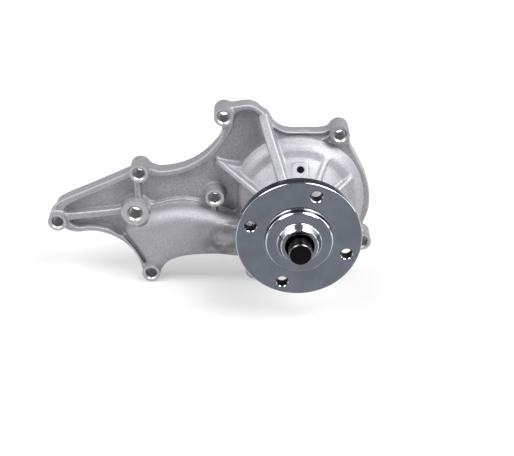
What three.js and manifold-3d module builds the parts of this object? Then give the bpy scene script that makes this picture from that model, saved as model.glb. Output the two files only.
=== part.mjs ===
// Automotive water pump: cast housing, integral shaft bearing, pulley flange, shaft seal and impeller.
// Millimetres, +Z up. The shaft axis runs along Y: the pulley end points to -Y and the gasket
// face, which bolts to the engine, lies in the plane Y = 0 and faces +Y.
// Everything is drawn around the shaft axis, and the finished group is moved at the end
// so that the origin is the middle of the bottom of the whole pump.

import * as THREE from 'three';
import { mergeVertices } from 'three/addons/utils/BufferGeometryUtils.js';
import Module from 'manifold-3d';

const wasm = await Module();
wasm.setup();

// ---------------------------------------------------------------- driving dimensions

const GAP = 0.3;                 // clearance kept between touching pieces

// housing, depths measured from the gasket face
const RIM_FRONT = -12;           // front of the perimeter rim
const WEB_FRONT = -6;            // floor of the lightening pockets
const BOSS_FRONT = -18;          // machined faces of the bolt bosses
const PASSAGE_FRONT = -27;       // crest of the coolant passage
const BEARING_BOSS_FRONT = -63;  // front end of the bearing boss
const BEARING_BOSS_RADIUS = 25.5;

// bolt bosses [x, z]
const BOSS_RADIUS = 7.6;
const BOLT_HOLE_RADIUS = 4.3;
const BOLT_BOSSES = [
  [-190.1, -19.2], [-121.9, 23.1], [-54.9, 69.6], [33.6, 54.8],
  [55.8, -38.4], [-117.7, -67.6], [-32, -65.5], [-63.3, 1.9],
];
const LARGE_BOSS = [-127.2, -11.3];
const LARGE_BOSS_RADIUS = 10.8;
const LARGE_HOLE_RADIUS = 5.3;

// pulley flange
const FLANGE_FACE = -83;
const FLANGE_RADIUS = 46;
const FLANGE_THICKNESS = 9;
const FLANGE_HOLE_CIRCLE = 36.9;
const FLANGE_HOLE_RADIUS = 4.2;
const FLANGE_HOLE_COUNT = 4;
const FLANGE_HOLE_START = THREE.MathUtils.degToRad(71.6);
const HUB_DISC_FRONT = -87.5;
const NOSE_FRONT = -93;
const HUB_REAR = -68;

// shaft and bearing
const SHAFT_TIP = -104.7;
const SHAFT_RADIUS = 8.5;
const SHAFT_REAR_RADIUS = 6;
const SHAFT_STEP = -27.8;
const SHAFT_REAR = -3;
const RACE_FRONT = -62.5;
const RACE_REAR = -28.5;
const RACE_RADIUS = 19;
const RACE_BORE = 15.2;
const BALL_RADIUS = 3.9;
const BALL_PITCH = 11.9;
const BALL_COUNT = 8;
const BALL_ROWS = { front: -54.5, rear: -36.5 };
const GROOVE_RADIUS = BALL_RADIUS + GAP;

// impeller and seal
const CHAMBER_FLOOR = -15.5;
const CHAMBER_RADIUS = 36.5;
const IMPELLER_RADIUS = 34;
const IMPELLER_DISC_FRONT = -13.5;
const IMPELLER_DISC_REAR = -11.3;
const IMPELLER_REAR = -3.4;
const VANE_COUNT = 6;
const SEAL_BORE = 15;

// roundness of the turned pieces
const FINE = 36;
const MEDIUM = 22;
const COARSE = 16;

// ---------------------------------------------------------------- helpers

function signedVolume(positions, triangles) {
  let sum = 0;
  const a = new THREE.Vector3();
  const b = new THREE.Vector3();
  const c = new THREE.Vector3();
  for (let i = 0; i < triangles.length; i += 3) {
    a.fromArray(positions, 3 * triangles[i]);
    b.fromArray(positions, 3 * triangles[i + 1]);
    c.fromArray(positions, 3 * triangles[i + 2]);
    sum += a.dot(b.cross(c));
  }
  return sum / 6;
}

// A closed three.js geometry as a manifold solid with its faces pointing out.
function solid(geometry) {
  const bare = geometry.clone();
  bare.deleteAttribute('normal');
  bare.deleteAttribute('uv');
  const merged = mergeVertices(bare, 1e-4);
  const positions = Float32Array.from(merged.attributes.position.array);
  const triangles = [];
  for (let i = 0; i < merged.index.count; i += 3) {
    const [p, q, r] = [0, 1, 2].map((k) => merged.index.getX(i + k));
    if (p !== q && q !== r && r !== p) triangles.push(p, q, r);
  }
  if (signedVolume(positions, triangles) < 0) triangles.reverse();
  const mesh = new wasm.Mesh({
    numProp: 3, vertProperties: positions, triVerts: Uint32Array.from(triangles),
  });
  return new wasm.Manifold(mesh);
}

// A manifold solid back as a three.js geometry.
function geometryOf(body) {
  const mesh = body.getMesh();
  const geometry = new THREE.BufferGeometry();
  geometry.setAttribute('position', new THREE.BufferAttribute(mesh.vertProperties, 3));
  geometry.setIndex(new THREE.BufferAttribute(mesh.triVerts, 1));
  geometry.computeVertexNormals();
  return geometry;
}

function union(bodies) {
  return bodies.reduce((sum, body) => sum.add(body));
}

function cut(body, tools) {
  return tools.reduce((rest, tool) => rest.subtract(tool), body);
}

// A body turned about the shaft axis from a profile of [radius, y] points.
function turned(profile, segments) {
  return new THREE.LatheGeometry(profile.map(([r, y]) => new THREE.Vector2(r, y)), segments);
}

// A ring of rectangular section about the shaft axis.
function ring(inner, outer, front, rear, segments) {
  const profile = [[inner, front], [outer, front], [outer, rear], [inner, rear], [inner, front]];
  return turned(profile, segments);
}

// A closed profile through the ball groove: points on a circle that bulges by `side`.
function grooveArc(rowY, radius, side) {
  const reach = Math.abs(BALL_PITCH - radius);
  const half = Math.acos(reach / GROOVE_RADIUS);
  const points = [];
  const steps = 4;
  for (let i = 0; i <= steps; i += 1) {
    const angle = -half + (2 * half * i) / steps;
    const r = BALL_PITCH + side * GROOVE_RADIUS * Math.cos(angle);
    points.push([r, rowY + GROOVE_RADIUS * Math.sin(angle)]);
  }
  return points;
}

// An outline in the X-Z plane drawn out along Y, from y = front to y = rear.
function plate(shape, front, rear, curveSegments = 6) {
  const options = { depth: rear - front, bevelEnabled: false, curveSegments };
  return solid(new THREE.ExtrudeGeometry(shape, options).rotateX(Math.PI / 2).translate(0, rear, 0));
}

// A round bar along Y.
function bar([x, z], radiusFront, radiusRear, front, rear, segments) {
  const geometry = new THREE.CylinderGeometry(radiusRear, radiusFront, rear - front, segments);
  return solid(geometry.translate(x, (front + rear) / 2, z));
}

// A closed outline through points by a smooth curve.
function smoothShape(points, divisions) {
  const curve = new THREE.CatmullRomCurve3(points.map(([x, z]) => new THREE.Vector3(x, z, 0)), true);
  const samples = curve.getPoints(divisions).slice(0, -1);
  return new THREE.Shape(samples.map((p) => new THREE.Vector2(p.x, p.y)));
}

// A polygon [x, z] with every corner rounded.
function roundedShape(points, radius) {
  const shape = new THREE.Shape();
  const at = (i) => new THREE.Vector2(...points[(i + points.length) % points.length]);
  points.forEach((point, i) => {
    const corner = at(i);
    const towardLast = at(i - 1).sub(corner);
    const towardNext = at(i + 1).sub(corner);
    const reach = Math.min(radius, towardLast.length() / 2.1, towardNext.length() / 2.1);
    const start = corner.clone().add(towardLast.setLength(reach));
    const end = corner.clone().add(towardNext.setLength(reach));
    if (i === 0) shape.moveTo(start.x, start.y);
    else shape.lineTo(start.x, start.y);
    shape.quadraticCurveTo(corner.x, corner.y, end.x, end.y);
  });
  shape.closePath();
  return shape;
}

// A straight rib between two [x, z, front] ends, standing on the plane y = rear.
function rib(start, end, width, rear) {
  const length = Math.hypot(end[0] - start[0], end[1] - start[1]);
  const side = new THREE.Shape([
    new THREE.Vector2(0, rear), new THREE.Vector2(0, start[2]),
    new THREE.Vector2(length, end[2]), new THREE.Vector2(length, rear),
  ]);
  const geometry = new THREE.ExtrudeGeometry(side, { depth: width, bevelEnabled: false });
  geometry.translate(0, 0, -width / 2);
  geometry.rotateY(-Math.atan2(end[1] - start[1], end[0] - start[0]));
  geometry.translate(start[0], 0, start[1]);
  return solid(geometry);
}

// Points of a round stretch, from one angle in degrees to another.
function arc([x, z], radius, start, end, count) {
  const points = [];
  for (let i = 0; i < count; i += 1) {
    const angle = THREE.MathUtils.degToRad(start + ((end - start) * i) / (count - 1));
    points.push([x + radius * Math.cos(angle), z + radius * Math.sin(angle)]);
  }
  return points;
}

function polar(radius, degrees) {
  const angle = THREE.MathUtils.degToRad(degrees);
  return [radius * Math.cos(angle), radius * Math.sin(angle)];
}

const material = {
  castAluminium: () => new THREE.MeshStandardMaterial({ color: 0xa9a9ad, roughness: 0.62, metalness: 0.85 }),
  platedSteel: () => new THREE.MeshStandardMaterial({ color: 0x8d939b, roughness: 0.2, metalness: 1 }),
  bearingSteel: () => new THREE.MeshStandardMaterial({ color: 0x77787c, roughness: 0.25, metalness: 1 }),
  pressedSteel: () => new THREE.MeshStandardMaterial({ color: 0x9a9a9a, roughness: 0.4, metalness: 0.9 }),
  castIron: () => new THREE.MeshStandardMaterial({ color: 0x55534f, roughness: 0.65, metalness: 0.7 }),
  brass: () => new THREE.MeshStandardMaterial({ color: 0xb08d4a, roughness: 0.35, metalness: 1 }),
  rubber: () => new THREE.MeshStandardMaterial({ color: 0x1c1c1c, roughness: 0.8, metalness: 0 }),
  carbon: () => new THREE.MeshStandardMaterial({ color: 0x2b2b2e, roughness: 0.45, metalness: 0.1 }),
  ceramic: () => new THREE.MeshStandardMaterial({ color: 0xe8e4da, roughness: 0.3, metalness: 0 }),
  nylon: () => new THREE.MeshStandardMaterial({ color: 0xd8c9a0, roughness: 0.5, metalness: 0 }),
};

// ---------------------------------------------------------------- cast housing

const VOLUTE_CENTRE = [1.5, -4];
const VOLUTE_RIM_RADIUS = 59.3;

// Plan of the rim, clockwise from the left end. The bolt bosses are added to it.
const RIM_OUTLINE = [
  [-197, -17], [-193, -10], [-187, -3], [-160, 9], [-131, 22], [-122, 27], [-113, 25],
  ...arc([-106.5, 79], 56, -90, -29, 6),
  [-57, 62], [-55, 74], [-47.5, 76], [-37, 77.5], [-31, 76], [-27, 73],
  ...arc([-3, 74], 19, -160, -90, 4),
  [7, 55], [17, 55], [24, 56], [34, 59], [41.5, 51.5], [43.5, 43],
  ...arc(VOLUTE_CENTRE, VOLUTE_RIM_RADIUS, 32, -22, 5),
  [58.5, -36], [53, -44.5], [42, -48],
  ...arc(VOLUTE_CENTRE, VOLUTE_RIM_RADIUS, -60, -105, 4),
  [-24, -64], [-32, -67], [-39.5, -61],
  ...arc([-70, -120.5], 70, 69, 114, 5),
  [-105.5, -61.5], [-110, -67], [-118, -70], [-125.5, -66],
  ...arc([-167, -72], 41.5, 17, 103, 6),
  [-184, -29.5], [-190, -25],
];

// Lightening pockets in the front of the web, as rounded polygons.
const POCKETS = [
  // left wedge between the top rim and the rib to the left end
  [[-186, -14.4], [-183.6, -7.2], [-130, 16.6], [-127, 8], [-127, -6], [-140, -10.6]],
  // strip under that rib
  [[-181.5, -20.6], [-137, -15.4], [-131.5, -30], [-138.8, -36.4], [-151, -28.4], [-176, -26.6]],
  // wide web between the large boss, the top rim and the volute
  [[-122.3, -4], [-122.3, 15], [-107, 18.4], [-99.5, 18.2], [-77.3, 26.7], [-57.8, 41.3],
    [-49.5, 55], [-45.6, 70.5], [-34.6, 72.4], [-27.5, 62.5], [-22, 44], [-36, 34],
    [-44.7, 24], [-43.4, -15], [-71.5, -7.4], [-87.4, -4.6], [-113, -9]],
  // narrow leaf between the top rim and the volute
  [[-17, 59], [-8, 53.8], [10, 52.9], [20, 52.6], [26, 54.8], [22, 49.5], [0, 49.5], [-13, 49.5]],
];

// Plan of the coolant passage that runs from the volute to the lower left.
const PASSAGE = [
  [-119, -11], [-104, -6.4], [-86, -4.6], [-70, -7], [-43, -14], [-24, -24], [-22, -44],
  [-44, -53], [-65, -50.8], [-87, -52.2], [-101, -56], [-109, -60.5], [-118, -60],
  [-126.5, -52], [-131.5, -38], [-129, -22],
];

// The same passage seen from the engine side, one wall thickness smaller.
const PASSAGE_CAVITY = [
  [-108, -13.5], [-86, -10], [-68, -13], [-40, -20], [-22, -30], [-22, -40],
  [-44, -46.5], [-65, -45], [-90, -46.5], [-104, -52], [-112, -59], [-119, -56],
  [-125, -46], [-126, -36], [-121, -26],
];

// Radial ribs of the volute: angle, outer radius, width.
const RADIAL_RIBS = [
  [110.4, 72, 8], [57.7, 49, 4], [25.4, 53, 4], [154.5, 69, 5], [-20, 53, 4], [-62, 53, 4], [-100, 53, 4],
];

function boltBoss(place) {
  return bar(place, BOSS_RADIUS - 0.2, BOSS_RADIUS + 0.4, BOSS_FRONT, 0, COARSE);
}

// Bearing boss, cone and the round crest of the volute, turned about the shaft axis.
function voluteBody() {
  const profile = [
    [0, 0], [54.8, 0], [54.8, RIM_FRONT + 0.5], [53, -18], [50.5, -21.5], [47, -23.4], [43.5, -22.6],
    [40, -21], [37, -21.4], [33, -28], [29.6, -37], [27, -45], [BEARING_BOSS_RADIUS, -51],
    [BEARING_BOSS_RADIUS, BEARING_BOSS_FRONT], [0, BEARING_BOSS_FRONT],
  ];
  return solid(turned(profile.reverse(), FINE));
}

// Passage with a rounded front: a straight body and a smaller crest on it.
function passageBody() {
  const shape = smoothShape(PASSAGE, 44);
  const bevel = 9;
  const geometry = new THREE.ExtrudeGeometry(shape, {
    depth: -PASSAGE_FRONT - bevel, bevelEnabled: true, bevelThickness: bevel,
    bevelSize: bevel * 0.8, bevelOffset: -bevel * 0.8, bevelSegments: 3,
  });
  geometry.rotateX(Math.PI / 2);
  const reach = 400;
  const behind = new THREE.BoxGeometry(reach, 60, reach).translate(0, 30, 0);
  return solid(geometry).subtract(solid(behind));
}

function housingRibs() {
  const ribs = RADIAL_RIBS.map(([angle, radius, width]) => {
    const [x, z] = polar(radius, angle);
    const [innerX, innerZ] = polar(24, angle);
    return rib([x, z, radius > 60 ? RIM_FRONT : -24], [innerX, innerZ, -46], width, -4);
  });
  const toLeftEnd = rib([...BOLT_BOSSES[0], RIM_FRONT], [...LARGE_BOSS, RIM_FRONT], 4, -4);
  const toTop = rib([-124.4, 18, RIM_FRONT - 1], [-124.4, -4, RIM_FRONT - 1], 4.4, -4);
  const branch = rib([-61, 29, -9], [-40, 25.5, -15], 3, -4);
  const underBoss = rib([-63.3, 0, -14], [-64.5, -12, -14], 3.4, -4);
  return [...ribs, toLeftEnd, toTop, branch, underBoss];
}

// Square pad with the vent of the seal chamber.
function ventPad() {
  return plate(roundedShape([[-3, 26], [-3, 36], [7.6, 36], [7.6, 26]], 3), -35, -20);
}

// Cavities open to the engine side: impeller chamber, volute channel and passage.
function engineSideCavities() {
  const chamber = solid(turned(
    [[0, CHAMBER_FLOOR], [CHAMBER_RADIUS, CHAMBER_FLOOR], [42, -17], [47, -18],
      [49.5, -15], [50, -10], [50, 1], [0, 1]],
    FINE,
  ));
  return [chamber, plate(smoothShape(PASSAGE_CAVITY, 30), -19.5, 1)];
}

function boresAndHoles() {
  const centre = [0, 0];
  const bearingBore = bar(centre, RACE_RADIUS + GAP, RACE_RADIUS + GAP, BEARING_BOSS_FRONT - 1, -28.2, FINE);
  const sealBore = bar(centre, SEAL_BORE, SEAL_BORE, -30, CHAMBER_FLOOR + 1, MEDIUM);
  const bolts = BOLT_BOSSES.map((place) => bar(place, BOLT_HOLE_RADIUS, BOLT_HOLE_RADIUS, -20, 1, 12));
  const large = bar(LARGE_BOSS, LARGE_HOLE_RADIUS, LARGE_HOLE_RADIUS, -20, 1, 12);
  const vent = bar([2.6, 31.5], 2.8, 2.8, -35, -25, 10);
  const ventDrop = new THREE.CylinderGeometry(1.6, 1.6, 19, 8).rotateX(Math.PI / 2).translate(2.6, -26, 21.5);
  const drain = new THREE.CylinderGeometry(2, 2, 40, 8).rotateX(Math.PI / 2).translate(0, -26, -33);
  return [bearingBore, sealBore, ...bolts, large, vent, solid(ventDrop), solid(drain)];
}

function housing() {
  const shell = plate(smoothShape(RIM_OUTLINE, 110), RIM_FRONT, 0);
  const hollowed = cut(shell, POCKETS.map((points) => plate(roundedShape(points, 5), RIM_FRONT - 1, WEB_FRONT, 2)));
  const largeBoss = bar(LARGE_BOSS, LARGE_BOSS_RADIUS, LARGE_BOSS_RADIUS + 0.4, BOSS_FRONT, 0, 20);
  const body = union([
    hollowed, voluteBody(), passageBody(), ...BOLT_BOSSES.map(boltBoss), largeBoss,
    ...housingRibs(), ventPad(),
  ]);
  return geometryOf(cut(body, [...engineSideCavities(), ...boresAndHoles()]));
}

// ---------------------------------------------------------------- pulley flange and shaft

function pulleyFlange() {
  const rear = FLANGE_FACE + FLANGE_THICKNESS;
  const bore = SHAFT_RADIUS + GAP;
  const profile = [
    [bore, HUB_REAR], [16, HUB_REAR], [17, HUB_REAR - 1], [17, rear + 3], [20, rear],
    [FLANGE_RADIUS - 0.6, rear], [FLANGE_RADIUS, rear - 0.6], [FLANGE_RADIUS, FLANGE_FACE + 0.6],
    [FLANGE_RADIUS - 0.6, FLANGE_FACE], [26, FLANGE_FACE], [25, FLANGE_FACE - 1],
    [23.5, HUB_DISC_FRONT], [16, HUB_DISC_FRONT], [13.8, NOSE_FRONT + 1], [13, NOSE_FRONT],
    [10.4, NOSE_FRONT], [10.2, NOSE_FRONT + 7], [bore, NOSE_FRONT + 8], [bore, HUB_REAR],
  ];
  const holes = [];
  for (let i = 0; i < FLANGE_HOLE_COUNT; i += 1) {
    const angle = FLANGE_HOLE_START + (2 * Math.PI * i) / FLANGE_HOLE_COUNT;
    const place = [FLANGE_HOLE_CIRCLE * Math.cos(angle), FLANGE_HOLE_CIRCLE * Math.sin(angle)];
    holes.push(bar(place, FLANGE_HOLE_RADIUS, FLANGE_HOLE_RADIUS, FLANGE_FACE - 1, rear + 1, 16));
  }
  return geometryOf(cut(solid(turned(profile, FINE)), holes));
}

function bearingShaft() {
  const profile = [
    [0, SHAFT_TIP], [SHAFT_RADIUS - 0.8, SHAFT_TIP], [SHAFT_RADIUS, SHAFT_TIP + 0.8],
    ...grooveArc(BALL_ROWS.front, SHAFT_RADIUS, -1),
    ...grooveArc(BALL_ROWS.rear, SHAFT_RADIUS, -1),
    [SHAFT_RADIUS, SHAFT_STEP - 0.5], [SHAFT_RADIUS - 0.5, SHAFT_STEP], [SHAFT_REAR_RADIUS, SHAFT_STEP],
    [SHAFT_REAR_RADIUS, SHAFT_REAR - 0.6], [SHAFT_REAR_RADIUS - 0.6, SHAFT_REAR], [0, SHAFT_REAR],
  ];
  return geometryOf(solid(turned(profile, MEDIUM)));
}

// ---------------------------------------------------------------- bearing

function bearingOuterRace() {
  const seat = 2.6;
  const recess = RACE_BORE + 1;
  const inner = [
    [recess, RACE_FRONT], [recess, RACE_FRONT + seat], [RACE_BORE, RACE_FRONT + seat],
    ...grooveArc(BALL_ROWS.front, RACE_BORE, 1), ...grooveArc(BALL_ROWS.rear, RACE_BORE, 1),
    [RACE_BORE, RACE_REAR - seat], [recess, RACE_REAR - seat], [recess, RACE_REAR],
  ];
  const outer = [
    [RACE_RADIUS - 0.6, RACE_REAR], [RACE_RADIUS, RACE_REAR - 0.6],
    [RACE_RADIUS, RACE_FRONT + 0.6], [RACE_RADIUS - 0.6, RACE_FRONT],
  ];
  const profile = [...inner, ...outer, inner[0]].reverse();
  return geometryOf(solid(turned(profile, MEDIUM)));
}

function ballPlaces(rowY) {
  const places = [];
  for (let i = 0; i < BALL_COUNT; i += 1) {
    const [x, z] = polar(BALL_PITCH, (360 * i) / BALL_COUNT);
    places.push([x, rowY, z]);
  }
  return places;
}

function bearingBall() {
  return geometryOf(solid(new THREE.IcosahedronGeometry(BALL_RADIUS, 1)));
}

// Snap-in cage: a ring with a round pocket for every ball.
function bearingCage(rowY, openSide) {
  const front = rowY + Math.min(-1.2 * openSide, 5.6 * openSide);
  const rear = rowY + Math.max(-1.2 * openSide, 5.6 * openSide);
  const band = solid(ring(10.4, 13.3, front, rear, BALL_COUNT * 2));
  const pockets = ballPlaces(rowY).map(([x, y, z]) => {
    return solid(new THREE.IcosahedronGeometry(GROOVE_RADIUS + 0.1, 1).translate(x, y, z));
  });
  return geometryOf(cut(band, pockets));
}

function bearingSeal(front) {
  const profile = [
    [SHAFT_RADIUS + GAP, front + 0.2], [10, front + 0.6], [11, front], [15.7, front], [15.9, front + 1.7],
    [11, front + 1.7], [9.6, front + 1.2], [SHAFT_RADIUS + GAP, front + 1], [SHAFT_RADIUS + GAP, front + 0.2],
  ];
  return geometryOf(solid(turned(profile, MEDIUM)));
}

// ---------------------------------------------------------------- shaft seal

function slinger() {
  const profile = [
    [SHAFT_REAR_RADIUS + GAP, -27], [8, -27], [11.5, -26.2], [11.5, -25.6], [8, -26.2],
    [SHAFT_REAR_RADIUS + GAP, -26.2], [SHAFT_REAR_RADIUS + GAP, -27],
  ];
  return geometryOf(solid(turned(profile, MEDIUM)));
}

function sealCup() {
  const wall = 0.8;
  const outer = SEAL_BORE - GAP;
  const profile = [
    [7.6, -24.4], [outer - 1, -24.4], [outer, -23.4], [outer, -15.2], [17.6, -15.2], [17.6, -14.4],
    [outer - wall, -14.4], [outer - wall, -23.2], [outer - 1.4, -23.6], [7.6, -23.6], [7.6, -24.4],
  ];
  return geometryOf(solid(turned(profile, MEDIUM)));
}

function sealBellows() {
  const profile = [
    [7, -23.3], [13.2, -23.3], [13.2, -22], [8.6, -21.6], [8.6, -20], [9.4, -19.2], [8.6, -18.4],
    [8.6, -16.8], [12.4, -16.6], [12.4, -15], [7, -15], [7, -23.3],
  ];
  return geometryOf(solid(turned(profile, MEDIUM)));
}

function sealSpring() {
  const turns = 2;
  const coilRadius = 11.2;
  const steps = 36;
  const points = [];
  for (let i = 0; i <= steps; i += 1) {
    const angle = (2 * Math.PI * turns * i) / steps;
    const y = -20.7 + (2.8 * i) / steps;
    points.push(new THREE.Vector3(coilRadius * Math.cos(angle), y, coilRadius * Math.sin(angle)));
  }
  const wire = new THREE.Shape(new THREE.Path().absarc(0, 0, 0.6, 0, 2 * Math.PI).getPoints(3));
  const path = new THREE.CatmullRomCurve3(points);
  const options = { steps, extrudePath: path, bevelEnabled: false };
  return geometryOf(solid(new THREE.ExtrudeGeometry(wire, options)));
}

function carbonRing() {
  const profile = [
    [7.2, -14.7], [10.8, -14.7], [10.8, -12.4], [9.6, -12.2], [9.6, -11.2], [7.2, -11.2], [7.2, -14.7],
  ];
  return geometryOf(solid(turned(profile, MEDIUM)));
}

function ceramicSeat() {
  return geometryOf(solid(ring(7.4, 11.4, -10.9, -7.4, MEDIUM)));
}

function seatCup() {
  const profile = [
    [7, -7.1], [11.7, -7.1], [11.7, -10.6], [12.8, -10.6], [12.8, -6], [7, -6], [7, -7.1],
  ];
  return geometryOf(solid(turned(profile, MEDIUM)));
}

// ---------------------------------------------------------------- impeller

// One blade, swept back against the turning direction.
function impellerVane(index) {
  const thickness = 2.4;
  const steps = 5;
  const inner = [];
  const outer = [];
  for (let i = 0; i <= steps; i += 1) {
    const t = i / steps;
    const radius = 13.8 + (IMPELLER_RADIUS - 0.4 - 13.8) * t;
    const angle = (360 * index) / VANE_COUNT + 58 * t;
    const half = THREE.MathUtils.radToDeg(thickness / 2 / radius);
    inner.push(new THREE.Vector2(...polar(radius, angle - half)));
    outer.unshift(new THREE.Vector2(...polar(radius, angle + half)));
  }
  return plate(new THREE.Shape([...inner, ...outer]), IMPELLER_DISC_REAR - 0.5, IMPELLER_REAR);
}

function impeller() {
  const bore = SHAFT_REAR_RADIUS + GAP;
  const profile = [
    [13.1, IMPELLER_DISC_FRONT], [IMPELLER_RADIUS - 0.5, IMPELLER_DISC_FRONT],
    [IMPELLER_RADIUS, IMPELLER_DISC_FRONT + 0.5], [IMPELLER_RADIUS, IMPELLER_DISC_REAR],
    [15.5, IMPELLER_DISC_REAR], [14.6, IMPELLER_DISC_REAR + 1], [14.2, IMPELLER_REAR - 0.6],
    [13.6, IMPELLER_REAR], [bore, IMPELLER_REAR], [bore, -5.7], [13.1, -5.7],
    [13.1, IMPELLER_DISC_FRONT],
  ];
  const vanes = [];
  for (let i = 0; i < VANE_COUNT; i += 1) vanes.push(impellerVane(i));
  const vent = [0, 1, 2].map((i) => bar(polar(22, 30 + 120 * i), 2, 2, -15, -10, 10));
  return geometryOf(cut(union([solid(turned(profile, FINE)), ...vanes]), vent));
}

// ---------------------------------------------------------------- assembly

const pump = new THREE.Group();

function place(name, geometry, finish, position = [0, 0, 0]) {
  const mesh = new THREE.Mesh(geometry, finish);
  mesh.name = name;
  mesh.position.set(...position);
  pump.add(mesh);
}

place('housing', housing(), material.castAluminium());
place('pulley_flange', pulleyFlange(), material.platedSteel());
place('bearing_shaft', bearingShaft(), material.bearingSteel());
place('bearing_outer_race', bearingOuterRace(), material.bearingSteel());
for (const [row, rowY] of Object.entries(BALL_ROWS)) {
  ballPlaces(rowY).forEach((position, i) => {
    place(`ball_${row}_${i + 1}`, bearingBall(), material.bearingSteel(), position);
  });
}
place('bearing_cage_front', bearingCage(BALL_ROWS.front, 1), material.nylon());
place('bearing_cage_rear', bearingCage(BALL_ROWS.rear, -1), material.nylon());
place('bearing_seal_front', bearingSeal(RACE_FRONT + 0.4), material.rubber());
place('bearing_seal_rear', bearingSeal(RACE_REAR - 2.2), material.rubber());
place('slinger', slinger(), material.pressedSteel());
place('seal_cup', sealCup(), material.brass());
place('seal_bellows', sealBellows(), material.rubber());
place('seal_spring', sealSpring(), material.pressedSteel());
place('seal_carbon_ring', carbonRing(), material.carbon());
place('ceramic_seat', ceramicSeat(), material.ceramic());
place('seat_cup', seatCup(), material.rubber());
place('impeller', impeller(), material.castIron());

// The origin is the middle of the bottom of the whole pump.
const extent = new THREE.Box3().setFromObject(pump);
const middle = extent.getCenter(new THREE.Vector3());
pump.position.set(-middle.x, -middle.y, -extent.min.z);
pump.updateMatrixWorld(true);

export default pump;
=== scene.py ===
"""Looks of an automotive water pump: cast housing, pulley flange, bearing, shaft seal and impeller.

Lengths are written in millimetres in pump coordinates: the origin is where the shaft axis meets
the gasket face, X points right, Y towards the engine and Z up. MM and `world` turn them into the
frame's metres. The cast housing and the cast impeller are distance fields sampled on a grid and
turned into a mesh, so that their ribs and bosses run into each other with fillets.
"""

import math

import bmesh
import bpy
import numpy as np
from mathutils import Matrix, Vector

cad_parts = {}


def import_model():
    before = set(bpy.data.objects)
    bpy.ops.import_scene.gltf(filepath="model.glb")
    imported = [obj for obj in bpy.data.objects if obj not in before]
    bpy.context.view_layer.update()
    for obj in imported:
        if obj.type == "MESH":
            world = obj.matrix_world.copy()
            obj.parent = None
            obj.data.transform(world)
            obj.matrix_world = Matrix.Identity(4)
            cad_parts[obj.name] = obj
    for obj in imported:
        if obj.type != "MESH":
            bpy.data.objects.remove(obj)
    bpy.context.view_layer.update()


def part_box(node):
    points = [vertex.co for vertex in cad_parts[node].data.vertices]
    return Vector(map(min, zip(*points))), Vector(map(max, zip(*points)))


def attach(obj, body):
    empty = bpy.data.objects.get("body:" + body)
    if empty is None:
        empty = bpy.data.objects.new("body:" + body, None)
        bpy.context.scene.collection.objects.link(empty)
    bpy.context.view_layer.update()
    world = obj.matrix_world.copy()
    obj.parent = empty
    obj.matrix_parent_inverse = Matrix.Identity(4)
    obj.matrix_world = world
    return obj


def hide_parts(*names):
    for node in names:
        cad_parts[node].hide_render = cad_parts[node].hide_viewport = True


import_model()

MM = 0.001

# ---------------------------------------------------------------- places, from the frame

shaft_low, shaft_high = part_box("bearing_shaft")
housing_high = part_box("housing")[1]
AXIS_X = (shaft_low[0] + shaft_high[0]) / 2
AXIS_Z = (shaft_low[2] + shaft_high[2]) / 2
GASKET_Y = housing_high[1]
ORIGIN = np.array([AXIS_X, GASKET_Y, AXIS_Z])


def world(points):
    """Pump coordinates in millimetres to the frame's metres."""
    return np.asarray(points, dtype=float) * MM + ORIGIN


def arc(centre, radius, start, end, count):
    """Points of a round stretch, from one angle in degrees to another."""
    angles = np.radians(np.linspace(start, end, count))
    return [(centre[0] + radius * math.cos(a), centre[1] + radius * math.sin(a)) for a in angles]


# ---------------------------------------------------------------- driving dimensions

RIM_FRONT = -12
WEB_FRONT = -6
BOSS_FRONT = -18
PASSAGE_FRONT = -27
# The passage's front is level right of this X and above this Z, and past them falls by these shares.
PASSAGE_LEVEL = (-108, -30)
PASSAGE_FALL = (0.42, 0.2)
BEARING_BOSS_FRONT = -63
BEARING_BORE = 19.2
SEAL_BORE = 15
VOLUTE_CENTRE = (1.5, -4)
VOLUTE_RIM_RADIUS = 59.3

BOLT_BOSSES = {
    "left_end": (-190.1, -19.2), "top_middle": (-121.9, 23.1), "upper_left": (-54.9, 69.6),
    "right_top": (33.6, 54.8), "right_bottom": (55.8, -38.4), "lower_left": (-117.7, -67.6),
    "bottom": (-32, -65.5), "inner": (-63.3, 1.9),
}
BOSS_RADIUS = 7.4
BOLT_HOLE_RADIUS = 4.3
LARGE_BOSS = (-127.2, -11.3)
LARGE_BOSS_RADIUS = 10.8
LARGE_HOLE_RADIUS = 5.3
VENT = (3, 33.5)
VENT_Y = -33.6
VENT_TILT = math.radians(50)
STAIN_PLACE = (-57, -26, -33)

FLANGE_FACE = -83
FLANGE_REAR = -74
FLANGE_RADIUS = 46
FLANGE_HOLES = 4
FLANGE_HOLE_CIRCLE = 36.9
FLANGE_HOLE_RADIUS = 4.2
FLANGE_HOLE_START = 71.6
NOSE_FRONT = -93
HUB_DISC_FRONT = -87.5
HUB_REAR = -68
SHAFT_TIP = -104.7
SHAFT_RADIUS = 8.5

RACE_FRONT = -62.5
RACE_REAR = -28.5
RACE_RADIUS = 19
RACE_BORE = 15.2
BALL_RADIUS = 3.9
BALL_PITCH = 11.9
BALL_COUNT = 8
BALL_ROWS = {"front": -54.5, "rear": -36.5}

CHAMBER_FLOOR = -15.5
CHAMBER_RADIUS = 36.5
IMPELLER_RADIUS = 34
IMPELLER_VANES = 6

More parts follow.
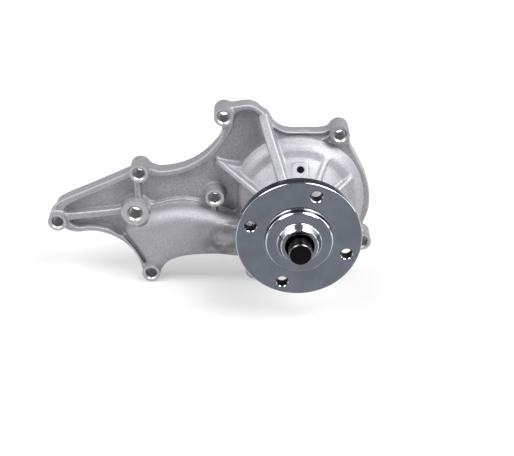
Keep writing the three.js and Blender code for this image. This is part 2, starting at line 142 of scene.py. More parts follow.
# Plan of the housing's rim, clockwise from the left end, without the bolt bosses.
RIM_OUTLINE = [
    (-197, -17), (-193, -10), (-187, -3), (-160, 9), (-131, 22), (-122, 27), (-113, 25),
    *arc((-106.5, 79), 56, -90, -29, 6),
    (-57, 62), (-55, 74), (-47.5, 76), (-37, 77.5), (-31, 76), (-27, 73),
    *arc((-3, 74), 19, -160, -90, 4),
    (7, 55), (17, 55), (24, 56), (34, 59), (41.5, 51.5), (43.5, 43),
    *arc(VOLUTE_CENTRE, VOLUTE_RIM_RADIUS, 32, -22, 5),
    (58.5, -36), (53, -44.5), (42, -48),
    *arc(VOLUTE_CENTRE, VOLUTE_RIM_RADIUS, -60, -105, 4),
    (-24, -64), (-32, -67), (-39.5, -61),
    *arc((-70, -120.5), 70, 69, 114, 5),
    (-105.5, -61.5), (-110, -67), (-118, -70), (-125.5, -66),
    *arc((-167, -72), 41.5, 17, 103, 6),
    (-184, -29.5), (-190, -25),
]

# Floors of the lightening pockets.
LEFT_WEDGE = [
    (-183.5, -13.6), (-182.8, -8.2), (-176, -3.8), (-155, 5.5), (-133, 15.6), (-127.2, 17), (-127, 2),
    (-127.5, -5), (-139, -9), (-160, -11.8),
]
LEFT_STRIP = [
    (-181, -20.6), (-160, -18.2), (-140, -16), (-134, -20), (-134, -32), (-141, -34.6),
    (-150.6, -28.6), (-165, -25.9), (-176, -26.6),
]
LEFT_GUTTER = [
    (-140, -33.5), (-137.4, -38), (-130.2, -48.2), (-124.9, -59), (-121.5, -64.4), (-118, -62),
    (-122, -55), (-127, -45), (-133, -33),
]
LEFT_GUTTER_FRONT = -9
MAIN_WEB = [
    (-122, -1), (-122, 13), (-114.5, 18.5), *arc((-106.5, 79), 60.8, -90, -29, 6),
    (-48.5, 59), (-47, 68), (-43, 72), (-37, 73), (-31.5, 71.5), (-27, 67), (-23, 59), (-19.5, 51),
    (-19, 45), (-33, 40), (-39.5, 31), (-44.5, 24), (-44.5, 8), (-45, -6), (-48, -13), (-56, -10.5),
    (-71.5, -5.5), (-87.5, -2.5), (-100, -3.5), (-113, -6.5),
]
# The ledge that the volute and the passage rise from is wider than the pocket and not as deep.
LEDGE = [
    (-119, -4), (-110, 2), (-87.4, 3), (-66, 0), (-48, 4), (-46, 20), (-40, 20), (-30, -30),
    (-70, -30), (-115, -30),
]
LEDGE_FRONT = -9.2
TOP_LEAF = [
    (-19.6, 60.2), (-15.6, 57.4), (-9.6, 54.4), (-3.8, 53.3), (6.7, 53.5), (17.3, 53), (22.4, 53.9),
    (27, 56.4), (26, 52.4), (21, 49.6), (12, 49), (2, 49), (-7, 48), (-16, 46),
]
# Stretch of the top rim that stands lower than the rest.
LOW_RIM = [(-17, 68), (30, 66), (28.5, 48), (-12, 44)]
LOW_RIM_FRONT = -11.2

# Plan of the coolant passage at its foot, and of its cavity on the engine side.
PASSAGE = [
    (-119, -13), (-110, -9.4), (-98, -6.4), (-86, -5.7), (-72, -8.3), (-58, -13), (-47, -16),
    (-36, -19), (-24, -26), (-20, -40), (-32, -52), (-46, -52.8), (-65, -50.6), (-87, -52.2),
    (-99, -56.3), (-107, -62), (-113, -69), (-121.6, -66), (-125.6, -57), (-129.8, -48.5),
    (-135, -40.5), (-138.8, -34), (-138, -25), (-131, -18),
]
PASSAGE_CAVITY = [
    (-108, -16), (-86, -13), (-68, -15.5), (-40, -23), (-22, -30), (-22, -40), (-44, -47),
    (-65, -45.5), (-90, -46), (-103, -48), (-112, -42), (-115, -32), (-114, -22),
]

# Sections of the volute and the bearing boss: (radius, y), from the foot to the bearing bore.
# The first has the round crest of the channel; the second is the plain wall before it begins.
BEARING_BOSS_SECTION = [(27, -43.5), (25.8, -48), (25.5, -54), (25.5, -66), (0, -66), (0, 2)]
CREST_SECTION = [
    (54.2, 2), (54.2, -13.6), (53.4, -14.7), (51.6, -17.6), (49.6, -20.3), (47, -22.2), (44, -23.4),
    (41.2, -24.5), (38.5, -26.6), (35.5, -29.9), (31, -36.2),
] + BEARING_BOSS_SECTION
PLAIN_SECTION = [
    (54.2, 2), (54.2, -11), (53.4, -14), (51, -16.6), (46, -19.4), (41, -22.6), (37, -26.6),
    (32, -34.5),
] + BEARING_BOSS_SECTION

# The plain section takes over past this angle from the right, over this many degrees.
PLAIN_FROM = 152
PLAIN_BLEND = 10

# Outer radius of the volute round the shaft: angle, radius. It grows clockwise from the tongue.
VOLUTE_GROWTH = [
    (-180, 45.2), (-156, 45.2), (-140, 57), (-90, 60), (-30, 57), (10, 55), (40, 54.6), (60, 52.8),
    (90, 51.4), (106, 51.6), (119, 52.6), (150, 50.4), (153, 50), (159, 45.4), (180, 45.2),
]

# Radial ribs: angle, outer radius, outer y, inner radius, inner y, half width.
RADIAL_RIBS = [
    (110.6, 73, -12.4, 25, -49, 3.3), (154.5, 70, -6.5, 25, -44, 2.2), (57.7, 45, -23, 25, -45, 1.7),
    (25.4, 49, -22.5, 25, -45, 1.7), (-20, 49, -22.5, 25, -45, 1.7), (-62, 49, -22.5, 25, -45, 1.7),
    (-100, 49, -22.5, 25, -45, 1.7),
]

VOXEL = 0.8

# Y of a plane in front of every cast surface of the web, where its cutters begin.
CLEAR = -40

# ---------------------------------------------------------------- distance fields


def smooth_max(a, b, k):
    h = np.maximum(k - np.abs(a - b), 0) / k
    return np.maximum(a, b) + h * h * k / 4


def smooth_min(a, b, k):
    return -smooth_max(-a, -b, k)


def spline(points, per_span=6):
    """Closed Catmull-Rom curve through the points."""
    p = np.asarray(points, dtype=float)
    t = np.linspace(0, 1, per_span, endpoint=False)[:, None]
    spans = []
    for i in range(len(p)):
        a, b, c, d = p[i - 1], p[i], p[(i + 1) % len(p)], p[(i + 2) % len(p)]
        spans.append(0.5 * (2 * b + (c - a) * t + (2 * a - 5 * b + 4 * c - d) * t ** 2
                            + (3 * b - a - 3 * c + d) * t ** 3))
    return np.concatenate(spans)


def outline_distance(points, u, v):
    """Signed distance to a closed outline, negative inside."""
    nearest = np.full(u.shape, 1e9)
    inside = np.zeros(u.shape, dtype=bool)
    p = np.asarray(points, dtype=float)
    for a, b in zip(p, np.roll(p, 1, axis=0)):
        edge = b - a
        length2 = max(float(edge @ edge), 1e-12)
        du, dv = u - a[0], v - a[1]
        t = np.clip((du * edge[0] + dv * edge[1]) / length2, 0, 1)
        nearest = np.minimum(nearest, (du - edge[0] * t) ** 2 + (dv - edge[1] * t) ** 2)
        crosses = (a[1] > v) != (b[1] > v)
        if abs(edge[1]) > 1e-12:
            inside ^= crosses & (u < a[0] + (v - a[1]) * edge[0] / edge[1])
    distance = np.sqrt(nearest)
    return np.where(inside, -distance, distance).astype(np.float32)


class Field:
    """A distance field on a grid, in pump coordinates. Negative is inside the metal."""

    def __init__(self, low, high, step):
        self.low = np.array(low, dtype=float)
        self.step = step
        axes = [np.arange(a, b, step, dtype=np.float32) for a, b in zip(low, high)]
        self.x = axes[0][:, None, None]
        self.y = axes[1][None, :, None]
        self.z = axes[2][None, None, :]
        self.plan_x, self.plan_z = np.meshgrid(axes[0], axes[2], indexing="ij")
        self.value = np.full([len(a) for a in axes], 1e3, dtype=np.float32)

    def add(self, shape, fillet):
        self.value = smooth_min(self.value, shape, fillet)

    def cut(self, shape, rounding):
        self.value = smooth_max(self.value, -shape, rounding)

    def plan(self, points):
        return outline_distance(spline(points), self.plan_x, self.plan_z)

    def slab(self, front, rear):
        return np.abs(self.y - (front + rear) / 2) - (rear - front) / 2

    def drawn(self, plan, front, rear, edge, draft=0.0):
        """A plan drawn out along Y. With draft it grows towards the rear."""
        side = plan[:, None, :] + draft * (rear - self.y)
        return smooth_max(side, self.slab(front, rear), edge)

    def pillow(self, plan, front, rear, radius):
        """A plan drawn out along Y to a front that may vary, its front edge rounded to a radius."""
        side = plan[:, None, :] + radius
        top = (front[:, None, :] + radius) - self.y
        corner = np.sqrt(np.maximum(side, 0) ** 2 + np.maximum(top, 0) ** 2)
        body = corner + np.minimum(np.maximum(side, top), 0) - radius
        return np.maximum(body, self.y - rear)

    def bar(self, place, radius, front, rear, edge, draft=0.0):
        plan = np.hypot(self.plan_x - place[0], self.plan_z - place[1]) - radius
        return self.drawn(plan, front, rear, edge, draft)

    def rib(self, start, end, half_width, rear, edge=1.2, draft=0.06):
        """A straight rib between two (x, z, front y) ends."""
        length = math.hypot(end[0] - start[0], end[1] - start[1])
        ux, uz = (end[0] - start[0]) / length, (end[1] - start[1]) / length
        along = (self.plan_x - start[0]) * ux + (self.plan_z - start[1]) * uz
        across = np.abs((self.plan_z - start[1]) * ux - (self.plan_x - start[0]) * uz)
        slope = (end[2] - start[2]) / length
        front = start[2] + slope * np.clip(along, 0, length)
        top = (front[:, None, :] - self.y) / math.hypot(1, slope)
        side = (across - half_width)[:, None, :] - draft * np.maximum(-top, 0)
        ends = (np.abs(along - length / 2) - length / 2)[:, None, :]
        body = smooth_max(side, top, edge)
        return np.maximum(np.maximum(body, ends), self.y - rear)

    def turned(self, section, spread=None):
        """A body turned about the shaft axis from a closed (radius, y) section."""
        step = 0.4
        foremost = -70
        radii = np.arange(0, 90, step)
        heights = np.arange(foremost, 6, step)
        r, y = np.meshgrid(radii, heights, indexing="ij")
        table = outline_distance(section, r, y)
        radius = np.hypot(self.plan_x, self.plan_z)
        if spread is not None:
            radius = radius - spread(radius, np.arctan2(self.plan_z, self.plan_x))
        i = np.clip(radius / step, 0, len(radii) - 1.001)
        j = np.clip((self.y[0, :, 0] - foremost) / step, 0, len(heights) - 1.001)
        i0, j0 = i.astype(int), j.astype(int)
        fi = (i - i0)[:, None, :]
        fj = (j - j0)[None, :, None]
        i0 = i0[:, None, :]
        j0 = j0[None, :, None]
        near = table[i0, j0] * (1 - fj) + table[i0, j0 + 1] * fj
        far = table[i0 + 1, j0] * (1 - fj) + table[i0 + 1, j0 + 1] * fj
        return (near * (1 - fi) + far * fi).astype(np.float32)

    def close_diagonals(self):
        """Fills squares whose metal corners only touch across a diagonal, so the surface stays closed."""
        f = self.value
        for _ in range(6):
            for axis in range(3):
                u, v = [n for n in range(3) if n != axis]
                views = []
                for du, dv in ((0, 0), (1, 0), (1, 1), (0, 1)):
                    cut = [slice(None)] * 3
                    cut[u] = slice(du, f.shape[u] - 1 + du)
                    cut[v] = slice(dv, f.shape[v] - 1 + dv)
                    views.append(f[tuple(cut)])
                a, b, c, d = [view < 0 for view in views]
                views[1][a & c & ~b & ~d] = -0.02
                views[0][b & d & ~a & ~c] = -0.02

    def curvature(self):
        """How sharply the surface bends, in 1/mm: above zero on an edge, below zero in a crease."""
        f = self.value
        result = np.zeros_like(f)
        for axis in range(3):
            result += np.roll(f, 1, axis) + np.roll(f, -1, axis) - 2 * f
        return result / self.step ** 2

    def mesh_data(self):
        """Vertices in pump coordinates and quads of the surface where the field is zero."""
        self.close_diagonals()
        f = self.value
        inside = f < 0
        corners = [(i, j, k) for i in (0, 1) for j in (0, 1) for k in (0, 1)]
        shape = tuple(n - 1 for n in f.shape)
        count = np.zeros(shape, dtype=np.int8)
        for i, j, k in corners:
            count += inside[i:i + shape[0], j:j + shape[1], k:k + shape[2]]
        cells = np.argwhere((count > 0) & (count < 8))
        index = np.full(shape, -1, dtype=np.int64)
        index[tuple(cells.T)] = np.arange(len(cells))
        total = np.zeros((len(cells), 3))
        crossings = np.zeros(len(cells))
        for a in corners:
            for axis in range(3):
                if a[axis]:
                    continue
                b = list(a)
                b[axis] = 1
                fa = f[tuple((cells + a).T)]
                fb = f[tuple((cells + b).T)]
                crossed = (fa < 0) != (fb < 0)
                t = np.where(crossed, fa / np.where(crossed, fa - fb, 1), 0)
                point = np.array(a) + t[:, None] * (np.array(b) - np.array(a))
                total += point * crossed[:, None]
                crossings += crossed
        vertices = (cells + total / crossings[:, None]) * self.step + self.low
        quads = []
        for axis in range(3):
            u, v = [n for n in range(3) if n != axis]
            first = [slice(1, -1)] * 3
            second = [slice(1, -1)] * 3
            first[axis] = slice(0, -1)
            second[axis] = slice(1, None)
            changed = np.argwhere(inside[tuple(first)] != inside[tuple(second)])
            offset = np.array([1, 1, 1])
            offset[axis] = 0
            base = changed + offset
            starts_inside = inside[tuple(base.T)]
            ring = []
            for du, dv in ((0, 0), (-1, 0), (-1, -1), (0, -1)):
                cell = base.copy()
                cell[:, u] += du
                cell[:, v] += dv
                ring.append(index[tuple(cell.T)])
            quad = np.stack(ring, axis=1)
            flip = starts_inside if axis == 1 else ~starts_inside
            quad[flip] = quad[flip][:, ::-1]
            quads.append(quad)
        return vertices, np.concatenate(quads)

    def sample(self, values, points):
        """Values of a grid of this field's size at points in pump coordinates."""
        p = (np.asarray(points) - self.low) / self.step
        top = np.array(self.value.shape) - 1.001
        p = np.clip(p, 0, top)
        i = p.astype(int)
        t = p - i
        result = np.zeros(len(p))
        for a in (0, 1):
            for b in (0, 1):
                for c in (0, 1):
                    w = (np.where(a, t[:, 0], 1 - t[:, 0]) * np.where(b, t[:, 1], 1 - t[:, 1])
                         * np.where(c, t[:, 2], 1 - t[:, 2]))
                    result += w * values[i[:, 0] + a, i[:, 1] + b, i[:, 2] + c]
        return result


# ---------------------------------------------------------------- mesh helpers


def mesh_object(name, vertices, faces):
    mesh = bpy.data.meshes.new(name)
    mesh.from_pydata(np.asarray(vertices).tolist(), [], [list(map(int, f)) for f in faces])
    mesh.validate()
    obj = bpy.data.objects.new(name, mesh)
    bpy.context.collection.objects.link(obj)
    return obj


def casting(name, field):
    """A field's surface, with how sharply it bends kept at its points for the material."""
    vertices, quads = field.mesh_data()
    obj = mesh_object(name, world(vertices), quads)
    bend = obj.data.attributes.new("bend", "FLOAT", "POINT")
    bend.data.foreach_set("value", field.sample(field.curvature(), vertices))
    return obj


def dress(obj, materials):
    for material in materials:
        obj.data.materials.append(material)


def apply_modifiers(obj):
    graph = bpy.context.evaluated_depsgraph_get()
    mesh = bpy.data.meshes.new_from_object(obj.evaluated_get(graph))
    obj.modifiers.clear()
    old = obj.data
    obj.data = mesh
    bpy.data.meshes.remove(old)


def decimate(obj, share):
    modifier = obj.modifiers.new("thin", "DECIMATE")
    modifier.ratio = share
    apply_modifiers(obj)


def shade(obj, angle=35):
    for polygon in obj.data.polygons:
        polygon.use_smooth = True
    obj.data.set_sharp_from_angle(angle=math.radians(angle))


def rounded(profile, radius, steps=3, closed=True):
    """The profile with each corner replaced by a small arc."""
    points = [Vector(p) for p in profile]
    result = []
    count = len(points)
    for i, corner in enumerate(points):
        if not closed and i in (0, count - 1):
            result.append(corner)
            continue
        before = points[i - 1] - corner
        after = points[(i + 1) % count] - corner
        if before.length < 1e-6 or after.length < 1e-6:
            result.append(corner)
            continue
        reach = min(radius, before.length * 0.45, after.length * 0.45)
        start = corner + before.normalized() * reach
        end = corner + after.normalized() * reach
        for s in range(steps + 1):
            t = s / steps
            result.append(start * (1 - t) ** 2 + corner * 2 * t * (1 - t) + end * t ** 2)
    return [tuple(p) for p in result]


def ring(place, radius, y, segments):
    """Points of a ring in a plane across Y."""
    points = []
    for s in range(segments):
        angle = 2 * math.pi * s / segments
        points.append((place[0] + radius * math.cos(angle), y, place[1] + radius * math.sin(angle)))
    return points


def band(row, segments):
    """Quads between one ring of points and the next."""
    quads = []
    for s in range(segments):
        n = (s + 1) % segments
        quads.append([row * segments + s, row * segments + n,
                      (row + 1) * segments + n, (row + 1) * segments + s])
    return quads


def turned_mesh(name, profile, segments=96, closed=True):
    """A body turned about the shaft axis. The profile is (radius, y); if open, it ends on the axis."""
    vertices = []
    rows = []
    for r, y in profile:
        if r < 1e-6:
            rows.append([len(vertices)] * segments)
            vertices.append((0, y, 0))
            continue
        rows.append(list(range(len(vertices), len(vertices) + segments)))
        vertices.extend(ring((0, 0), r, y, segments))
    pairs = list(zip(rows, rows[1:]))
    if closed:
        pairs.append((rows[-1], rows[0]))
    faces = []
    for low, high in pairs:
        for s in range(segments):
            n = (s + 1) % segments
            face = [low[s], low[n], high[n], high[s]]
            unique = list(dict.fromkeys(face))
            if len(unique) > 2:
                faces.append(unique)
    obj = mesh_object(name, world(vertices), faces)
    face_out(obj)
    return obj


def face_out(obj, merge=0):
    """Turns every face outwards, after merging points that are closer than a distance in metres."""
    bm = bmesh.new()
    bm.from_mesh(obj.data)
    if merge:
        bmesh.ops.remove_doubles(bm, verts=bm.verts, dist=merge)
    bmesh.ops.recalc_face_normals(bm, faces=bm.faces)
    bm.to_mesh(obj.data)
    bm.free()


def chamfered_tool(place, radius, front, rear, chamfer, segments=48):
    """Vertices and faces of a hole cutter along Y that also chamfers the hole at both ends."""
    over = 2
    wide = radius + chamfer
    rings = [(0, front - over), (wide + over, front - over), (radius, front + chamfer),
             (radius, rear - chamfer), (wide + over, rear + over), (0, rear + over)]
    vertices = []
    faces = []
    for r, y in rings:
        vertices.extend(ring(place, r, y, segments))
    for row in range(1, len(rings) - 2):
        faces.extend(band(row, segments))
    faces.append([segments + s for s in range(segments)])
    last = (len(rings) - 2) * segments
    faces.append([last + s for s in reversed(range(segments))])
    return vertices, faces


def tool_object(name, parts, materials, material_index):
    vertices = []
    faces = []
    for part_vertices, part_faces in parts:
        base = len(vertices)
        vertices.extend(part_vertices)
        faces.extend([[base + i for i in face] for face in part_faces])
    obj = mesh_object(name, world(vertices), faces)
    face_out(obj, 1e-7)
    dress(obj, materials)
    for polygon in obj.data.polygons:
        polygon.material_index = material_index
    return obj


def subtract(obj, tool):
    modifier = obj.modifiers.new("cut", "BOOLEAN")
    modifier.operation = "DIFFERENCE"
    modifier.solver = "MANIFOLD"
    modifier.object = tool
    apply_modifiers(obj)
    bpy.data.objects.remove(tool)


def straight_tool(place, radius, front, rear, segments=64):
    vertices = ring(place, radius, front, segments) + ring(place, radius, rear, segments)
    faces = [list(range(segments)), list(reversed(range(segments, 2 * segments)))]
    faces.extend(band(0, segments))
    return vertices, faces


def box_tool(low, high):
    vertices = [(x, y, z) for x in (low[0], high[0])
                for y in (low[1], high[1]) for z in (low[2], high[2])]
    faces = [[0, 1, 3, 2], [4, 6, 7, 5], [0, 4, 5, 1], [2, 3, 7, 6], [0, 2, 6, 4], [1, 5, 7, 3]]
    return vertices, faces


# ---------------------------------------------------------------- housing


def volute_spread(radius, angle):
    """How much further out than its section the volute reaches at each angle."""
    angles, radii = zip(*VOLUTE_GROWTH)
    reach = np.interp(np.degrees(angle), angles, radii) - CREST_SECTION[0][0]
    steady, full = 31, 45
    blend = np.clip((radius - steady) / (full - steady), 0, 1)
    return reach * blend * blend * (3 - 2 * blend)


def polar(radius, degrees):
    angle = math.radians(degrees)
    return radius * math.cos(angle), radius * math.sin(angle)


def passage_front(field):
    """Front of the passage: it falls away to the lower left and towards the bottom."""
    left = np.maximum(PASSAGE_LEVEL[0] - field.plan_x, 0)
    down = np.maximum(PASSAGE_LEVEL[1] - field.plan_z, 0)
    return PASSAGE_FRONT + PASSAGE_FALL[0] * left + PASSAGE_FALL[1] * down


def add_bosses(field):
    for name, place in BOLT_BOSSES.items():
        field.add(field.bar(place, 8, BOSS_FRONT - 1.5, 2, 0.5, 0.033), 1.6)
        if name == "inner":
            field.add(field.bar(place, 9.6, -14, 2, 0.5, 0.16), 1.6)
    field.add(field.bar(LARGE_BOSS, 11.4, BOSS_FRONT - 1.5, 2, 0.5, 0.033), 0.8)
    field.add(field.bar(LARGE_BOSS, 13.6, RIM_FRONT - 0.6, 2, 0.9, 0.2), 0.9)
    ear = field.bar((-116.6, -9), 3.6, -15.5, 2, 1.5, 0.1)
    field.add(ear, 2)


def vent_pad(field):
    """Square pad on the slope above the bearing, tilted up with it."""
    dx, dy, dz = field.x - VENT[0], field.y - VENT_Y, field.z - VENT[1]
    out = -dy * math.cos(VENT_TILT) + dz * math.sin(VENT_TILT)
    up = dy * math.sin(VENT_TILT) + dz * math.cos(VENT_TILT)
    side = smooth_max(np.abs(dx) - 6, np.abs(up) - 6, 3.5)
    return smooth_max(side, np.abs(out + 4) - 4, 0.6)


def housing_field():
    field = Field((-203, -69, -79), (71, 6, 82), VOXEL)
    rim = field.plan(RIM_OUTLINE)
    field.add(field.drawn(rim, RIM_FRONT, 2, 0.6, 0.02), 0.1)
    field.cut(field.drawn(field.plan(LOW_RIM), CLEAR, LOW_RIM_FRONT, 0.8, -0.1), 0.3)
    for pocket in (LEFT_WEDGE, LEFT_STRIP, MAIN_WEB):
        field.cut(field.drawn(field.plan(pocket), CLEAR, WEB_FRONT, 1.2, -0.08), 0.5)
    field.cut(field.drawn(field.plan(LEDGE), CLEAR, LEDGE_FRONT, 0.8, -0.05), 0.9)
    field.cut(field.drawn(field.plan(LEFT_GUTTER), CLEAR, LEFT_GUTTER_FRONT, 0.8, -0.05), 0.5)
    field.cut(field.drawn(field.plan(TOP_LEAF), CLEAR, LEDGE_FRONT, 0.6, -0.05), 0.3)

    crest = field.turned(CREST_SECTION, volute_spread)
    plain = field.turned(PLAIN_SECTION, volute_spread)
    angle = np.degrees(np.arctan2(field.plan_z, field.plan_x))
    share = np.clip((np.abs(angle) - PLAIN_FROM) / PLAIN_BLEND, 0, 1)[:, None, :]
    field.add(crest * (1 - share) + plain * share, 0.4)
    passage = field.plan(PASSAGE)
    field.add(field.pillow(passage, passage_front(field), 2, 11.5), 1.4)

    for angle, outer, outer_y, inner, inner_y, half in RADIAL_RIBS:
        foot = (*polar(outer, angle), outer_y)
        top = (*polar(inner, angle), inner_y)
        field.add(field.rib(foot, top, half, 0), 2.2)
    field.add(field.rib((*BOLT_BOSSES["left_end"], -11.5), (*LARGE_BOSS, -12), 1.9, 0, 0.8), 1.2)
    field.add(field.rib((-124.6, 20, -13.5), (-124.6, -4, -13.5), 2.2, 0, 0.8), 1.2)
    field.add(field.rib((-62, 28.5, -8.5), (-42, 25.5, -15), 1.3, 0), 1.8)
    field.add(field.rib((-63.6, 0, -15), (-64.6, -16, -15), 1.7, 0, 0.6), 0.8)
    field.add(field.rib((-57, -19.5, -24.5), (-34, -19.5, -31), 1.8, 0, 0.6), 1.2)

    add_bosses(field)
    field.add(vent_pad(field), 0.8)

    chamber = [(0, 6), (0, CHAMBER_FLOOR), (CHAMBER_RADIUS, CHAMBER_FLOOR), (41, -16.8), (46, -17.2),
               (49, -15.5), (50, -11), (50.2, 6)]
    field.cut(field.turned(chamber, volute_spread), 0.6)
    field.cut(field.drawn(field.plan(PASSAGE_CAVITY), -20, 9, 5, -0.02), 1.2)
    return field


def vent_tool():
    """Drill for the vent, square to its pad: a wide mouth, then the bore."""
    out = (0, -math.cos(VENT_TILT), math.sin(VENT_TILT))
    up = (0, math.sin(VENT_TILT), math.cos(VENT_TILT))
    segments = 32
    rings = [(3.5, 3), (3.5, 0.5), (2.9, -0.1), (2.9, -18)]
    vertices = []
    for radius, along in rings:
        for s in range(segments):
            angle = 2 * math.pi * s / segments
            a, b = radius * math.cos(angle), radius * math.sin(angle)
            vertices.append((VENT[0] + a, VENT_Y + out[1] * along + up[1] * b,
                             VENT[1] + out[2] * along + up[2] * b))
    faces = [list(range(segments)), [3 * segments + s for s in reversed(range(segments))]]
    for row in range(3):
        faces.extend(band(row, segments))
    return vertices, faces


def housing_tools():
    """Cutters for the machined faces, then for the holes and bores."""
    gasket = box_tool((-215, 0, -90), (80, 8, 92))
    faces = [gasket]
    for place in BOLT_BOSSES.values():
        faces.append(straight_tool(place, BOSS_RADIUS + 0.9, BOSS_FRONT - 12, BOSS_FRONT))
    faces.append(straight_tool(LARGE_BOSS, LARGE_BOSS_RADIUS + 1, BOSS_FRONT - 12, BOSS_FRONT))
    faces.append(straight_tool((0, 0), 30, -70, BEARING_BOSS_FRONT))
    holes = [chamfered_tool(place, BOLT_HOLE_RADIUS, BOSS_FRONT, 0, 1.1)
             for place in BOLT_BOSSES.values()]
    holes.append(chamfered_tool(LARGE_BOSS, LARGE_HOLE_RADIUS, BOSS_FRONT, 0, 1.2))
    holes.append(vent_tool())
    bores = [chamfered_tool((0, 0), BEARING_BORE, BEARING_BOSS_FRONT, -26.2, 0.8, 96)]
    seal = [straight_tool((0, 0), SEAL_BORE, -31, CHAMBER_FLOOR + 3, 96)]
    return faces, holes, bores, seal


def build_housing():
    obj = casting("housing_casting", housing_field())
    decimate(obj, 0.6)
    dress(obj, (cast_aluminium(), machined_aluminium()))
    for number, parts in enumerate(housing_tools()):
        subtract(obj, tool_object(f"housing_tool_{number}", parts, obj.data.materials, 1))
    shade(obj, 38)
    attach(obj, "housing_body")
    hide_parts("housing")


# ---------------------------------------------------------------- turned pieces


def build_turned(node, body, profile, look, corner=0.25, segments=96, tools=()):
    """A turned piece that stands for one CAD node; cut surfaces take the second material."""
    obj = turned_mesh("fine_" + node, rounded(profile, corner), segments)
    dress(obj, look)
    if tools:
        subtract(obj, tool_object("tool_" + node, tools, obj.data.materials, len(look) - 1))
    finish(obj, node, body)
    return obj


def finish(obj, node, body, angle=30):
    shade(obj, angle)
    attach(obj, body)
    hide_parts(node)


def groove(row_y, radius, side, steps=10):
    """Points of the ball groove in a race whose plain surface has this radius."""
    reach = abs(BALL_PITCH - radius)
    deep = BALL_RADIUS + 0.15
    half = math.acos(reach / deep)
    points = []
    for i in range(steps + 1):
        angle = -half + 2 * half * i / steps
        points.append((BALL_PITCH + side * deep * math.cos(angle), row_y + deep * math.sin(angle)))
    return points


def build_flange():
    profile = [
        (8.8, HUB_REAR), (16.2, HUB_REAR), (17, HUB_REAR - 0.9), (17, FLANGE_REAR + 2.4),
        (18.2, FLANGE_REAR), (FLANGE_RADIUS - 0.8, FLANGE_REAR), (FLANGE_RADIUS, FLANGE_REAR - 0.8),
        (FLANGE_RADIUS, FLANGE_FACE + 0.6), (FLANGE_RADIUS - 0.6, FLANGE_FACE), (26.2, FLANGE_FACE),
        (25.9, FLANGE_FACE + 0.35), (25.3, FLANGE_FACE - 0.6), (24.6, -86.4), (23.5, HUB_DISC_FRONT),
        (16.3, HUB_DISC_FRONT), (15.6, -88.3), (13.7, NOSE_FRONT + 0.7), (13, NOSE_FRONT),
        (10.7, NOSE_FRONT), (10.2, NOSE_FRONT + 0.6), (10.2, -86), (8.8, -85.2),
    ]
    holes = []
    for i in range(FLANGE_HOLES):
        place = polar(FLANGE_HOLE_CIRCLE, FLANGE_HOLE_START + 360 * i / FLANGE_HOLES)
        holes.append(chamfered_tool(place, FLANGE_HOLE_RADIUS, FLANGE_FACE, FLANGE_REAR, 0.5))
    # One steel in three copies: darkened on the flat faces and the rim as a painted dark reflection,
    # brighter and glossier on the nose, hub and chamfers for painted highlights, near-black on the hole
    # walls as painted shade.
    look = (steel_painted_dark_reflection(), steel_painted_highlight(), dark_steel_and_hole_shade())
    obj = turned_mesh("fine_pulley_flange", rounded(profile, 0.22), 192)
    dress(obj, look)
    edge_radius = (FLANGE_RADIUS - 0.3) * MM
    for polygon in obj.data.polygons:
        centre = polygon.center
        radius = math.hypot(centre.x - AXIS_X, centre.z - AXIS_Z)
        polygon.material_index = int(abs(polygon.normal.y) < 0.97 and radius < edge_radius)
    tool = tool_object("tool_pulley_flange", holes, obj.data.materials, 1)
    # The walls of the holes take the near-black steel: painted shade inside the holes.
    for polygon in tool.data.polygons:
        if abs(polygon.normal.y) < 0.1:
            polygon.material_index = 2
    subtract(obj, tool)
    finish(obj, "pulley_flange", "rotor")


def build_shaft():
    look = (ground_steel(), dark_steel_and_hole_shade())
    profile = [(0, SHAFT_TIP), (SHAFT_RADIUS - 0.8, SHAFT_TIP), (SHAFT_RADIUS, SHAFT_TIP + 0.8)]
    profile += groove(BALL_ROWS["front"], SHAFT_RADIUS, -1) + groove(BALL_ROWS["rear"], SHAFT_RADIUS, -1)
    profile += [(SHAFT_RADIUS, -28.3), (8, -27.8), (6, -27.8), (6, -3.6), (5.4, -3), (0, -3)]
    obj = turned_mesh("fine_bearing_shaft", rounded(profile, 0.2, 3, False), 96, False)
    dress(obj, look)
    for polygon in obj.data.polygons:
        along = polygon.center.y - GASKET_Y
        bevel = SHAFT_TIP * MM < along - 0.02 * MM and along < (SHAFT_TIP + 0.8) * MM
        if along < (NOSE_FRONT + 8) * MM and not bevel:
            polygon.material_index = 1
    finish(obj, "bearing_shaft", "rotor")


